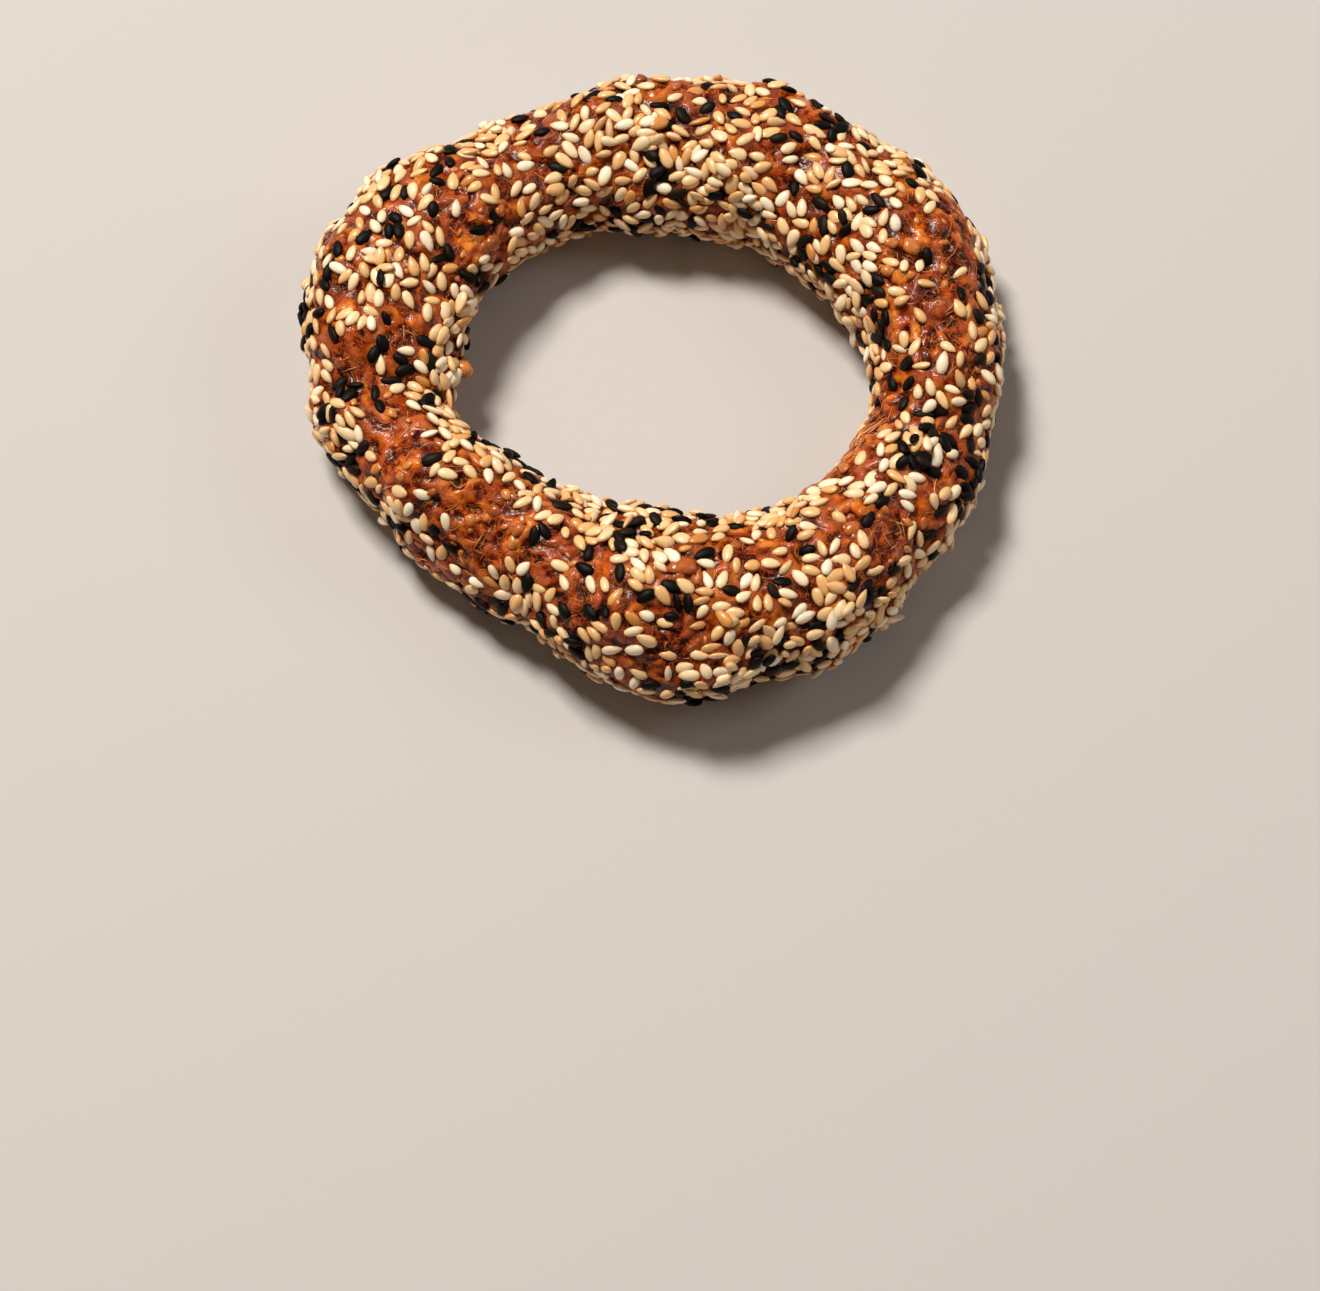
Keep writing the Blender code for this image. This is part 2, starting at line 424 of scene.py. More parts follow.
def lay_seeds(under):
    """Scatters the coat over the dough, a second layer where it is crowded."""
    draw = random.Random(DRAW)
    coat = Coat()
    seeds = []
    widest = (max(RING_RADII) + max(DOUGH_HALF_WIDTHS)) * MM
    thickest = max(DOUGH_HALF_WIDTHS) * MM
    for _ in range(SEED_TRIES):
        angle, turn = draw.uniform(0, math.tau), draw.uniform(0, math.tau)
        place = plain_point(angle, turn)
        evenly = math.hypot(place.x, place.y) / widest * section(angle)[1] / thickest
        if draw.random() > evenly:
            continue
        wanted = coat_wanted(place)
        if draw.random() > wanted**COAT_POWER:
            continue
        out, ahead = facing(angle, turn)
        middle = down_to_crust(under, dough_point(angle, turn), out)
        neighbours = coat.near(middle)
        side = out.cross(ahead)
        best = None
        for _ in range(SEED_SPINS):
            spin = draw.gauss(0, SPIN_SPREAD) + draw.choice((0, math.pi))
            axis = ahead * math.cos(spin) + side * math.sin(spin)
            first, second = crowding(neighbours, middle, axis)
            if best is None or first + second < best[0] + best[1]:
                best = (first, second, axis)
        first, second, axis = best
        layer = 0
        if first > FIRST_OVERLAP:
            if second > SECOND_OVERLAP or first > DEEPEST_OVERLAP:
                continue
            if draw.random() > PILING * (wanted - PILED_FROM):
                continue
            layer = 1
        tip, tail = (down_to_crust(under, middle + axis * foot * MM, out) for foot in SEED_FEET)
        axis = (tail - tip).normalized()
        middle = (tip + tail + middle) / 3
        side = out.cross(axis).normalized()
        up = axis.cross(side)
        if layer == 0:
            lean = draw.gauss(0, LEAN_SPREAD)
        else:
            lean = draw.choice((-1, 1)) * draw.uniform(*PILED_LEANS)
        roll = draw.gauss(0, ROLL_SPREAD)
        if draw.random() < EDGE_SHARE:
            roll += draw.choice((-1, 1)) * EDGE_ROLL
        tilt = Matrix.Rotation(lean, 3, side) @ Matrix.Rotation(roll, 3, axis)
        middle = middle + out * (draw.uniform(*SEED_RISES) + PILED_RISE * layer) * MM
        kind = draw_kind(draw, place)
        if kind == GOLDEN:
            middle = middle - out * GLAZED_SINK
        size = draw.gauss(1.0, SIZE_SPREAD)
        seeds.append(
            Seed(
                kind=kind,
                middle=middle,
                length=tilt @ axis * SEED_LENGTH * size * draw.gauss(1, LENGTH_SPREAD),
                side=tilt @ side * SEED_WIDTH * size * draw.gauss(1, WIDTH_SPREAD),
                up=tilt @ up * SEED_THICKNESS * draw.uniform(*THICKNESSES),
                bend=draw.uniform(*BENDS),
                roundness=draw.uniform(*ROUNDNESSES[kind]),
                tone=draw.random(),
            )
        )
        for offset, radius in SEED_DISCS:
            coat.add(middle + axis * offset, radius, layer)
    return seeds


def seed_form(pointed, blunt):
    """One seed as points and faces: a flat drop a unit long, wide and thick, its tip at -X."""
    shape = bmesh.new()
    lying = Matrix.Rotation(math.pi / 2, 4, "Y")
    bmesh.ops.create_uvsphere(
        shape, u_segments=SEED_SIDES, v_segments=SEED_RINGS, radius=0.5, matrix=lying
    )
    widest = pointed / (pointed + blunt)
    fullest = widest**pointed * (1 - widest) ** blunt
    for vert in shape.verts:
        t = min(1.0, max(0.0, vert.co.x + 0.5))
        round_radius = math.sqrt(max(1e-9, 0.25 - vert.co.x**2))
        slim = t**pointed * (1 - t) ** blunt / fullest / (2 * round_radius)
        if t in (0.0, 1.0):
            slim = 0.0
        vert.co.y *= slim
        vert.co.z *= slim**FACE_FALL if slim else 0.0
    bmesh.ops.recalc_face_normals(shape, faces=shape.faces[:])
    points = np.array([v.co for v in shape.verts])
    # Sorted, because recalculated faces come in another order in each run
    faces = sorted([v.index for v in f.verts] for f in shape.faces)
    shape.free()
    return points, faces


def joined(name, points, faces, values):
    """One piece from stacked points and faces, with a float attribute for each named value."""
    mesh = bpy.data.meshes.new(name)
    mesh.from_pydata(points.tolist(), [], faces)
    for label, numbers in values.items():
        mesh.attributes.new(label, "FLOAT", "POINT").data.foreach_set("value", numbers)
    mesh.shade_smooth()
    piece = bpy.data.objects.new(name, mesh)
    bpy.context.scene.collection.objects.link(piece)
    return piece


def make_seeds(kind, seeds):
    """All the seeds of a kind as one piece. Its values say where on its seed a point is."""
    form, form_faces = seed_form(*DROP)
    oval = seed_form(*OVAL)[0]
    points, faces = [], []
    for seed in seeds:
        own = form + (oval - form) * seed.roundness
        own[:, 1] += seed.bend * (0.5 - own[:, 0]) ** 2
        start = len(form) * len(points)
        points.append(own @ np.array([seed.length, seed.side, seed.up]) + np.array(seed.middle))
        faces += [[start + corner for corner in face] for face in form_faces]
    points = np.concatenate(points)
    tones = np.repeat([seed.tone for seed in seeds], len(form))
    points[:, 2] = np.maximum(points[:, 2], tones * FLAT_SPREAD)
    rim = RIM_SHARE - np.minimum(RIM_SHARE, np.abs(form[:, 2]) / RIM_HEIGHT)
    values = {
        "tone": tones,
        "along": np.tile(form[:, 0] + 0.5, len(seeds)),
        "across": np.tile(form[:, 1], len(seeds)),
        "flank": np.tile(rim, len(seeds)),
    }
    return joined(kind, points, faces, values)


# Stretched strands of dough that baked onto the crust: loose ones all over, and a bundle of
# thicker ones along the seam where the rope's end was pressed onto the ring
STRAND_COUNT = 1200
STRAND_RADIUS = 0.085 * MM
STRAND_STEP = 0.5 * MM
STRAND_SIDES = 4
STRAND_ARCHES = (0.0, 0.1)  # in mm, how high a strand's middle stands off the crust
STRAND_SINK = 0.1  # how deep a strand lies in the crust, as a share of the radius
FIRST_BEND, LATER_BENDS = 0.05, 0.035  # in radians a step, for a strand of unruliness 1
TAPER_POWER = 0.5
LOOSE_STEPS, LOOSE_UNRULINESS, LOOSE_RADII = (4, 8), 1.6, (0.6, 1.4)
LOOSE_SHARE = 1.15  # strands lie where this is more than the coat by a random share
LOWEST_STRAND = 2 * MM
SEAM_COUNT = 16
SEAM_RADIUS = 0.26 * MM
SEAM_ENDS = ((350, 132), (314, 160))  # ring angle and angle round the dough
SEAM_STARTS = (0, 0.6)  # where on the seam a strand starts, as a share of the way
SEAM_SPREAD = (1.2, 4.5)  # in degrees, along the ring and round the dough
SEAM_STEPS, SEAM_UNRULINESS, SEAM_RADII = (9, 20), 0.08, (0.5, 1.5)


def strand_path(under, draw, start, heading, steps, unruly):
    """A wandering line over the crust, lifted a little off it in the middle."""
    point, out = under.find_nearest(start)[:2]
    arch = draw.uniform(*STRAND_ARCHES) * MM
    bend = draw.gauss(0, FIRST_BEND * unruly)
    path = []
    for step in range(steps):
        lift = arch * math.sin(math.pi * step / (steps - 1)) - STRAND_RADIUS * STRAND_SINK
        path.append((point + out * lift, out))
        bend += draw.gauss(0, LATER_BENDS * unruly)
        heading = (Matrix.Rotation(bend, 3, out) @ heading).normalized()
        point, out = under.find_nearest(point + heading * STRAND_STEP)[:2]
        heading = (heading - out * heading.dot(out)).normalized()
    return path


def loose_strand(under, draw):
    """A short strand at a random place, more often where the coat is thin."""
    while True:
        angle, turn = draw.uniform(0, math.tau), draw.uniform(0, math.tau)
        place = plain_point(angle, turn)
        if place.z > LOWEST_STRAND and draw.random() < LOOSE_SHARE - coat_wanted(place):
            break
    out, ahead = facing(angle, turn)
    start = down_to_crust(under, dough_point(angle, turn), out)
    heading = Matrix.Rotation(draw.uniform(0, math.tau), 3, out) @ ahead
    steps = draw.randint(*LOOSE_STEPS)
    path = strand_path(under, draw, start, heading, steps, LOOSE_UNRULINESS)
    return path, STRAND_RADIUS * draw.uniform(*LOOSE_RADII)


def seam_strand(under, draw):
    """One of the strands that lie side by side along the seam."""
    (first_angle, first_turn), (last_angle, last_turn) = SEAM_ENDS
    share = draw.uniform(*SEAM_STARTS)
    angle = first_angle + (last_angle - first_angle) * share + draw.gauss(0, SEAM_SPREAD[0])
    turn = first_turn + (last_turn - first_turn) * share + draw.gauss(0, SEAM_SPREAD[1])
    start = dough_point(math.radians(angle), math.radians(turn))
    end = dough_point(math.radians(last_angle), math.radians(last_turn))
    heading = (end - start).normalized()
    steps = draw.randint(*SEAM_STEPS)
    path = strand_path(under, draw, start, heading, steps, SEAM_UNRULINESS)
    return path, SEAM_RADIUS * draw.uniform(*SEAM_RADII)


def make_strands(under):
    """The strands as one piece of slim tubes that taper to both ends."""
    draw = random.Random(DRAW + 1)
    laid = [loose_strand(under, draw) for _ in range(STRAND_COUNT)]
    laid += [seam_strand(under, draw) for _ in range(SEAM_COUNT)]
    points, faces, tones = [], [], []
    for path, thick in laid:
        tone, first = draw.random(), len(points)
        for step, (point, up) in enumerate(path):
            ahead = (path[min(step + 1, len(path) - 1)][0] - path[max(step - 1, 0)][0]).normalized()
            side = ahead.cross(up).normalized()
            up = side.cross(ahead)
            taper = math.sin(math.pi * (step + 0.6) / (len(path) + 0.2)) ** TAPER_POWER
            for corner in range(STRAND_SIDES):
                swing = math.tau * corner / STRAND_SIDES
                points.append(
                    point + (side * math.cos(swing) + up * math.sin(swing)) * thick * taper
                )
                tones.append(tone)
        for low in range(first, len(points) - STRAND_SIDES, STRAND_SIDES):
            for corner in range(STRAND_SIDES):
                beside = (corner + 1) % STRAND_SIDES
                high = low + STRAND_SIDES
                faces.append([low + corner, high + corner, high + beside, low + beside])
        last = len(points) - STRAND_SIDES
        faces.append([first + corner for corner in range(STRAND_SIDES)])
        faces.append([last + corner for corner in reversed(range(STRAND_SIDES))])
    points = np.array(points)
    points[:, 2] = np.maximum(points[:, 2], 0.0)
    return joined("dough_strands", points, faces, {"tone": tones})


# Crumbs of dough on the crust: a few large ones at known places, the rest scattered
CRUMB_COUNT = 170
PLACED_CRUMBS = (
    # ring angle, angle round the dough, length, width, height, rise in mm, spin in degrees
    (172, 176, 3.1, 2.9, 3.4, 1.0, 0),
    (277, 95, 4.6, 2.6, 1.3, 0, 10),
    (209, 112, 3.0, 1.5, 0.9, 0, -20),
    (27, 92, 3.0, 2.6, 1.3, 0, 30),
    (19, 108, 2.4, 2.1, 1.2, 0, 0),
    (138, 142, 3.0, 2.6, 1.6, 0, 0),
    (131, 126, 2.1, 1.9, 1.2, 0, 40),
    (332, 135, 3.4, 1.8, 1.0, 0, 60),
    (318, 86, 2.8, 2.2, 1.3, 0, 0),
)
# How long a scattered crumb is in mm, how wide for its length and how high for its width
CRUMB_LENGTHS, CRUMB_WIDTHS, CRUMB_HEIGHTS = (0.9, 2.3), (0.5, 0.95), (0.4, 0.9)
CRUMB_SHARE = 1.25  # crumbs lie where this is more than the coat by a random share
CRUMB_CLEARANCE = 0.95 * MM  # no scattered crumb's middle lies nearer to a seed than this
SEED_SPOTS = (-0.3, 0.0, 0.3)  # where along a seed that is measured, as shares of its length
PLACED_CLEARANCE = 0.4 * MM  # no seed's middle lies nearer to a placed crumb's edge than this
CRUMB_DENTS, PLACED_DENTS = 1.0, 0.6  # how dented the scattered and the placed crumbs are
DENTS = ((0.45, 2.4), (0.2, 6))  # the large and small dents' depth, and how many across a crumb
DENT_SHIFT = 50  # how far apart in the noise two crumbs' dents may be read


def clear_of_crumbs(seeds, under):
    """The seeds without those that a placed crumb would stand through."""
    for angle, turn, length, width, _, _, spin in PLACED_CRUMBS:
        angle, turn = math.radians(angle), math.radians(turn)
        out, ahead = facing(angle, turn)
        middle = down_to_crust(under, dough_point(angle, turn), out)
        axis = Matrix.Rotation(math.radians(spin), 3, out) @ ahead
        side = out.cross(axis)
        half_length = length / 2 * MM + PLACED_CLEARANCE
        half_width = width / 2 * MM + PLACED_CLEARANCE
        clear = []
        for seed in seeds:
            away = seed.middle - middle
            outside = math.hypot(away.dot(axis) / half_length, away.dot(side) / half_width) > 1
            if outside or away.length > length * MM:
                clear.append(seed)
        seeds = clear
    return seeds


def make_crumbs(under, seeds):
    """Rounded scraps of dough, half sunk in the crust between the seeds, as one piece."""
    draw = random.Random(DRAW + 2)
    covered = KDTree(len(SEED_SPOTS) * len(seeds))
    for number, seed in enumerate(seeds):
        for share in SEED_SPOTS:
            covered.insert(seed.middle + seed.length * share, number)
    covered.balance()
    ball = bmesh.new()
    bmesh.ops.create_icosphere(ball, subdivisions=2, radius=0.5)
    form = [v.co.copy() for v in ball.verts]
    form_faces = [[v.index for v in f.verts] for f in ball.faces]
    ball.free()
    scraps = [
        (math.radians(a), math.radians(t), length, width, height, rise, math.radians(spin))
        for a, t, length, width, height, rise, spin in PLACED_CRUMBS
    ]
    while len(scraps) < CRUMB_COUNT:
        angle, turn = draw.uniform(0, math.tau), draw.uniform(0, math.tau)
        if draw.random() > CRUMB_SHARE - coat_wanted(plain_point(angle, turn)):
            continue
        spot = down_to_crust(under, dough_point(angle, turn), facing(angle, turn)[0])
        if covered.find(spot)[2] < CRUMB_CLEARANCE:
            continue
        length = draw.uniform(*CRUMB_LENGTHS)
        width = length * draw.uniform(*CRUMB_WIDTHS)
        height = width * draw.uniform(*CRUMB_HEIGHTS)
        scraps.append((angle, turn, length, width, height, 0, draw.uniform(0, math.tau)))
    points, faces, tones = [], [], []
    for number, (angle, turn, length, width, height, rise, spin) in enumerate(scraps):
        dented = PLACED_DENTS if number < len(PLACED_CRUMBS) else CRUMB_DENTS
        out, ahead = facing(angle, turn)
        middle = down_to_crust(under, dough_point(angle, turn), out) + out * rise * MM
        axis = Matrix.Rotation(spin, 3, out) @ ahead
        side = out.cross(axis)
        start, tone = len(points), draw.random()
        shift = Vector((draw.random() * DENT_SHIFT, 0, 0))
        for spot in form:
            dent = sum(depth * noise.noise(spot * across + shift) for depth, across in DENTS)
            own = spot * (1 + dented * dent) * MM
            point = middle + axis * own.x * length
            points.append(point + side * own.y * width + out * own.z * height)
            tones.append(tone)
        faces += [[start + corner for corner in face] for face in form_faces]
    points = np.array(points)
    points[:, 2] = np.maximum(points[:, 2], 0.0)
    return joined("dough_crumbs", points, faces, {"tone": tones})


def add(tree, kind, inputs=None, stops=None, **settings):
    """Adds a node with its settings. An input takes a value or the socket that feeds it."""
    made = tree.nodes.new("ShaderNode" + kind)
    for name, value in settings.items():
        setattr(made, name, value)
    for name, value in (inputs or {}).items():
        if isinstance(value, bpy.types.NodeSocket):
            tree.links.new(value, made.inputs[name])
        else:
            made.inputs[name].default_value = value
    if stops:
        ramp = made.color_ramp.elements
        while len(ramp) < len(stops):
            ramp.new(0.5)
        for element, (position, colour) in zip(ramp, stops):
            element.position = position
            element.color = linear(colour)
    return made


def new_material(name):
    """An empty material with its output and its main shader."""
    material = bpy.data.materials.new(name)
    material.use_nodes = True
    tree = material.node_tree
    return material, tree, tree.nodes["Principled BSDF"].inputs


def baked_cheese_dough_crust():
    """Dough of cheese and egg, baked brown: a glossy skin, amber on top, with painted shade
    darkening it red-brown in the dips.
    """
    material, tree, shader = new_material("baked_dough_crust")
    # How wide its patterns are, and the two swirls whose level lines are the threads
    tint_width, crumb_width, patch_width, grain_width = 4.2 * MM, 1.4 * MM, 15 * MM, 0.55 * MM
    swirls = ((2.4 * MM, 0.0), (1.7 * MM, 3.1))  # width and turn
    here = add(tree, "TexCoord").outputs["Object"]
    crag = add(tree, "Attribute", attribute_name="crag").outputs["Fac"]
    broad = add(
        tree,
        "TexNoise",
        {"Vector": here, "Scale": 1 / tint_width, "Detail": 4.0, "Distortion": 1.1},
    )
    crumb = add(
        tree,
        "TexNoise",
        {"Vector": here, "Scale": 1 / crumb_width, "Detail": 5.0, "Distortion": 0.8},
    )
    height = add(
        tree, "Math", {0: crumb.outputs["Fac"], 1: 0.7, 2: crag}, operation="MULTIPLY_ADD"
    )
    dough = add(
        tree,
        "ValToRGB",
        {"Fac": broad.outputs["Fac"]},
        stops=((0.36, "#783626"), (0.45, "#a04e3a"), (0.53, "#bc6240"), (0.64, "#e6924e")),
    )
    # Painted shade in the crust's dips, read from its crag height, and darker at random where the
    # crumb noise is low; multiplied into the tint below
    dip_shade_and_crumb_tone = add(
        tree,
        "ValToRGB",
        {"Fac": height.outputs[0]},
        stops=((0.0, "#541c0c"), (0.17, "#8f4c32"), (0.35, "#e0c0ac"), (0.60, "#ffffff")),
    )
    slow = add(tree, "TexNoise", {"Vector": here, "Scale": 1 / patch_width, "Detail": 2.0})
    dusty = add(
        tree,
        "MapRange",
        {
            "Value": slow.outputs["Fac"],
            "From Min": 0.42,
            "From Max": 0.62,
            "To Min": 0,
            "To Max": 0.3,
        },
    )
    patched = add(
        tree,
        "Mix",
        {0: dusty.outputs[0], 6: dough.outputs["Color"], 7: linear("#cc7648")},
        data_type="RGBA",
    )
    toned = add(
        tree,
        "Mix",
        {0: 1.0, 6: patched.outputs[2], 7: dip_shade_and_crumb_tone.outputs["Color"]},
        data_type="RGBA",
        blend_type="MULTIPLY",
    )
    # Fine stretched threads of dough lie on the skin, drawn where two slow patterns cross level
    threads = None
    for width, turn in swirls:
        turned = add(tree, "Mapping", {"Vector": here, "Rotation": (turn, turn * 0.7, 0)})
        swirl = add(
            tree,
            "TexNoise",
            {"Vector": turned.outputs[0], "Scale": 1 / width, "Detail": 1.0, "Distortion": 1.4},
        )
        level = add(tree, "Math", {0: swirl.outputs["Fac"], 1: 0.5}, operation="SUBTRACT")
        off = add(tree, "Math", {0: level.outputs[0]}, operation="ABSOLUTE")
        line = add(
            tree,
            "MapRange",
            {
                "Value": off.outputs[0],
                "From Min": 0.006,
                "From Max": 0.024,
                "To Min": 1,
                "To Max": 0,
            },
        )
        threads = (
            line.outputs[0]
            if threads is None
            else add(
                tree, "Math", {0: threads, 1: line.outputs[0]}, operation="MAXIMUM"
            ).outputs[0]
        )
    thread_share = add(tree, "Math", {0: threads, 1: 0.55}, operation="MULTIPLY")
    threaded = add(
        tree,
        "Mix",
        {0: thread_share.outputs[0], 6: toned.outputs[2], 7: linear("#cf7a3e")},
        data_type="RGBA",
    )
    # Painted shade: the crust darkens near each seed, and is a little brighter away from the seeds
    seed_shade = add(tree, "Attribute", attribute_name="seed_shade").outputs["Fac"]
    seed_shade_value = add(tree, "MapRange", {"Value": seed_shade, "To Min": 1.08, "To Max": 0.68})
    lit = add(
        tree,
        "HueSaturation",
        {"Saturation": 1.06, "Value": seed_shade_value.outputs[0], "Color": threaded.outputs[2]},
    )
    tree.links.new(lit.outputs[0], shader["Base Color"])
    sheen = add(
        tree,
        "MapRange",
        {
            "Value": broad.outputs["Fac"],
            "From Min": 0.35,
            "From Max": 0.65,
            "To Min": 0.42,
            "To Max": 0.32,
        },
    )
    tree.links.new(sheen.outputs[0], shader["Roughness"])
    grain = add(
        tree,
        "TexNoise",
        {"Vector": here, "Scale": 1 / grain_width, "Detail": 3.0, "Roughness": 0.6},
    )
    rough_bump = add(
        tree, "Bump", {"Height": grain.outputs["Fac"], "Strength": 0.5, "Distance": 0.2 * MM}
    )
    thread_bump = add(
        tree,
        "Bump",
        {
            "Height": threads,
            "Strength": 0.6,
            "Distance": 0.12 * MM,
            "Normal": rough_bump.outputs[0],
        },
    )
    tree.links.new(thread_bump.outputs[0], shader["Normal"])
    glaze_bump = add(
        tree, "Bump", {"Height": grain.outputs["Fac"], "Strength": 0.5, "Distance": 0.14 * MM}
    )
    tree.links.new(glaze_bump.outputs[0], shader["Coat Normal"])
    shader["IOR"].default_value = 1.38
    shader["Specular IOR Level"].default_value = 0.25
    shader["Coat Weight"].default_value = 0.45
    shader["Coat IOR"].default_value = 1.32
    shader["Coat Roughness"].default_value = 0.06
    shader["Subsurface Weight"].default_value = 0.3
    shader["Subsurface Radius"].default_value = (1.0, 0.35, 0.1)
    shader["Subsurface Scale"].default_value = 1.0 * MM
    return material


def sesame(name, stops, tip, roughness, coat, shine=0.5):
    """Sesame with its own streaks: toned seed by seed, and toasted darker towards its tip."""
    material, tree, shader = new_material(name)
    tone = add(tree, "Attribute", attribute_name="tone").outputs["Fac"]
    along = add(tree, "Attribute", attribute_name="along").outputs["Fac"]
    across = add(tree, "Attribute", attribute_name="across").outputs["Fac"]
    own = add(tree, "CombineXYZ", {"X": along, "Y": across, "Z": tone})
    drawn_out = add(tree, "Mapping", {"Vector": own.outputs[0], "Scale": (2.0, 9.0, 90.0)})
    streaks = add(tree, "TexNoise", {"Vector": drawn_out.outputs[0], "Scale": 1.0, "Detail": 3.0})
    shade = add(
        tree, "Math", {0: streaks.outputs["Fac"], 1: 0.4, 2: tone}, operation="MULTIPLY_ADD"
    )
    eased = add(
        tree, "MapRange", {"Value": shade.outputs[0], "From Min": 0.1, "From Max": 1.3}
    )
    hull = add(tree, "ValToRGB", {"Fac": eased.outputs[0]}, stops=stops)
    near_tip = add(
        tree,
        "MapRange",
        {"Value": along, "From Min": 0.0, "From Max": 0.3, "To Min": 0.7, "To Max": 0.0},
    )
    flank = add(tree, "Attribute", attribute_name="flank").outputs["Fac"]
    most = add(tree, "Math", {0: near_tip.outputs[0], 1: flank}, operation="MAXIMUM")
    # Darker towards the tip, where it toasted, and all round the rim, fading over the faces
    tip_and_rim_tinted = add(
        tree,
        "Mix",
        {0: most.outputs[0], 6: hull.outputs["Color"], 7: linear(tip)},
        data_type="RGBA",
    )
    tree.links.new(tip_and_rim_tinted.outputs[2], shader["Base Color"])
    ridge = add(
        tree, "Bump", {"Height": streaks.outputs["Fac"], "Strength": 0.3, "Distance": 0.1 * MM}
    )
    tree.links.new(ridge.outputs[0], shader["Normal"])
    shader["Roughness"].default_value = roughness
    shader["IOR"].default_value = 1.47
    shader["Specular IOR Level"].default_value = shine
    shader["Subsurface Weight"].default_value = 0.1
    shader["Subsurface Radius"].default_value = (1.0, 0.6, 0.35)
    shader["Subsurface Scale"].default_value = 0.6 * MM
    shader["Coat Weight"].default_value = coat
    shader["Coat Roughness"].default_value = 0.17
    return material


def browned_scraps(name, stops, grain_width):
    """Scraps of the same dough, crisped: amber to red-brown, with a greasy shine."""
    material, tree, shader = new_material(name)
    here = add(tree, "TexCoord").outputs["Object"]
    tone = add(tree, "Attribute", attribute_name="tone").outputs["Fac"]
    grain = add(tree, "TexNoise", {"Vector": here, "Scale": 1 / grain_width, "Detail": 3.0})
    shade = add(tree, "Math", {0: grain.outputs["Fac"], 1: 0.7, 2: tone}, operation="MULTIPLY_ADD")
    eased = add(tree, "MapRange", {"Value": shade.outputs[0], "From Min": 0.2, "From Max": 1.5})
    browned = add(tree, "ValToRGB", {"Fac": eased.outputs[0]}, stops=stops)
    tree.links.new(browned.outputs["Color"], shader["Base Color"])
    bump = add(
        tree, "Bump", {"Height": grain.outputs["Fac"], "Strength": 0.4, "Distance": 0.2 * MM}
    )
    tree.links.new(bump.outputs[0], shader["Normal"])
    shader["Roughness"].default_value = 0.32
    shader["IOR"].default_value = 1.46
    shader["Coat Weight"].default_value = 0.3
    shader["Coat Roughness"].default_value = 0.15
    shader["Subsurface Weight"].default_value = 0.15
    shader["Subsurface Radius"].default_value = (1.0, 0.45, 0.2)
    shader["Subsurface Scale"].default_value = 1.0 * MM
    return material


def make_bagel():
    """The crust and everything on it, each piece with its finish and its place in the frame."""
    crust, under = make_crust()
    crust.data.materials.append(baked_cheese_dough_crust())
    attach(crust, "root")
    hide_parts("bagel")
    seeds = clear_of_crumbs(lay_seeds(under), under)
    # Painted shade round the seeds is marked on the crust
    paint_shade_round_seeds(crust, seeds)
    hulls = {
        # Hulled white sesame, lightly toasted: ivory to tan, satin
        PALE: sesame(
            "hulled_sesame",
            ((0.0, "#dfa566"), (0.3, "#f0c488"), (0.62, "#fbdcae"), (0.95, "#fff3da")),
            "#cf8a46",
            0.36,
            0.28,
        ),
        # The same seed toasted through: amber and slightly clear
        GOLDEN: sesame(
            "toasted_sesame",
            ((0.0, "#c98038"), (0.4, "#dc9a50"), (0.75, "#ebb26b"), (1.0, "#f5ca8c")),
            "#ae662a",
            0.34,
            0.25,
        ),
        # Unhulled black sesame: matt charcoal with a dusty bloom on its ridges
        BLACK: sesame(
            "black_sesame",
            ((0.0, "#070402"), (0.5, "#0f0906"), (0.85, "#1c130c"), (1.0, "#2e2117")),
            "#050302",
            0.52,
            0.0,
            0.14,
        ),
    }
    for kind, hull in hulls.items():
        piece = make_seeds(kind, [seed for seed in seeds if seed.kind == kind])
        piece.data.materials.append(hull)
        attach(piece, "root")
    strands = make_strands(under)
    strands.data.materials.append(
        browned_scraps(
            "stretched_dough", ((0.0, "#9c4c22"), (0.5, "#c06a34"), (1.0, "#e0a068")), 1.5 * MM
        )
    )
    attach(strands, "root")
    crumbs = make_crumbs(under, seeds)
    crumbs.data.materials.append(
        browned_scraps(
            "dough_crumb", ((0.0, "#7a3315"), (0.5, "#b9622a"), (1.0, "#dc9049")), 0.9 * MM
        )
    )
    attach(crumbs, "root")


# The view looks down on the ring from its thick side, aimed in front of it
VIEW_HEIGHT = math.radians(68.5)
VIEW_DISTANCE = 600 * MM
VIEW_AIM = Vector((1.2, -43.2, 11.0)) * MM
PHOTO_WIDTH = 1320
PHOTO_PIXELS_PER_MM = 6.8
SENSOR_WIDTH = 36.0
NEAREST_SEEN, FARTHEST_SEEN = 0.01, 20

FLOOR_REACH = 3.0
SKY_STRENGTH = 0.15


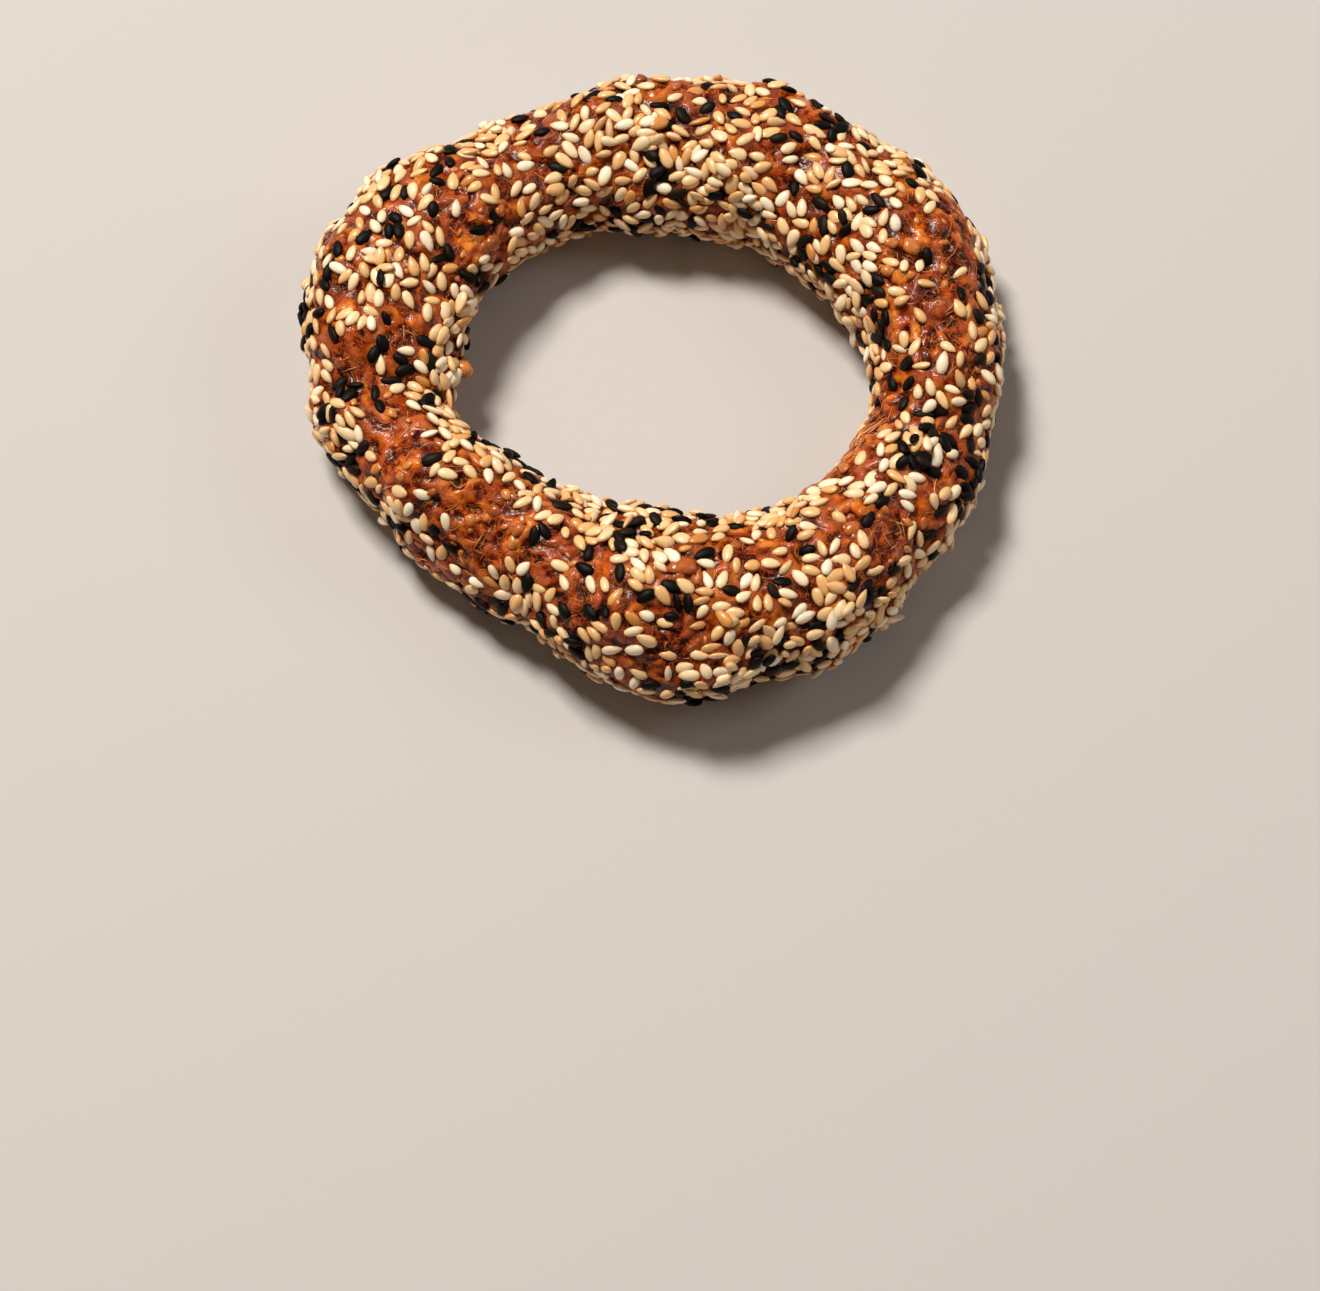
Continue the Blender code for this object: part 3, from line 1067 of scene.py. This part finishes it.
def make_camera():
    """A long lens at the photographed angle and scale."""
    eye = bpy.data.cameras.new("camera")
    eye.sensor_width = SENSOR_WIDTH
    seen_width = PHOTO_WIDTH / PHOTO_PIXELS_PER_MM * MM
    eye.lens = SENSOR_WIDTH * VIEW_DISTANCE / seen_width
    eye.clip_start, eye.clip_end = NEAREST_SEEN, FARTHEST_SEEN
    camera = bpy.data.objects.new("camera", eye)
    bpy.context.scene.collection.objects.link(camera)
    look = Vector((0, math.cos(VIEW_HEIGHT), -math.sin(VIEW_HEIGHT)))
    camera.location = VIEW_AIM - look * VIEW_DISTANCE
    camera.rotation_euler = look.to_track_quat("-Z", "Y").to_euler()
    bpy.context.scene.camera = camera


def make_light(name, place, width, watts, tint):
    """A soft square light that faces the ring."""
    glow = bpy.data.lights.new(name, "AREA")
    glow.size = width
    glow.energy = watts
    glow.color = linear(tint)[:3]
    light = bpy.data.objects.new(name, glow)
    bpy.context.scene.collection.objects.link(light)
    light.location = place
    light.rotation_euler = (-Vector(place)).to_track_quat("-Z", "Y").to_euler()


def make_studio():
    """A plain pale floor, an even sky and two soft lights."""
    shape = bmesh.new()
    bmesh.ops.create_grid(shape, x_segments=1, y_segments=1, size=FLOOR_REACH)
    mesh = bpy.data.meshes.new("floor")
    shape.to_mesh(mesh)
    shape.free()
    floor = bpy.data.objects.new("floor", mesh)
    bpy.context.scene.collection.objects.link(floor)
    material, _, shader = new_material("warm_pale_board")
    shader["Base Color"].default_value = linear("#c4c0bf")
    shader["Roughness"].default_value = 0.75
    mesh.materials.append(material)
    sky = bpy.data.worlds.new("studio")
    bpy.context.scene.world = sky
    sky.use_nodes = True
    glow = sky.node_tree.nodes["Background"].inputs
    glow["Color"].default_value = linear("#f3dfc9")
    glow["Strength"].default_value = SKY_STRENGTH
    make_light("window", (-0.5, 0.62, 1.42), 0.42, 33.0, "#fff8ee")
    make_light("card", (1.2, 0.2, 1.0), 0.6, 3.2, "#ffffff")


make_bagel()
make_camera()
make_studio()
bpy.context.scene.view_settings.view_transform = "Standard"
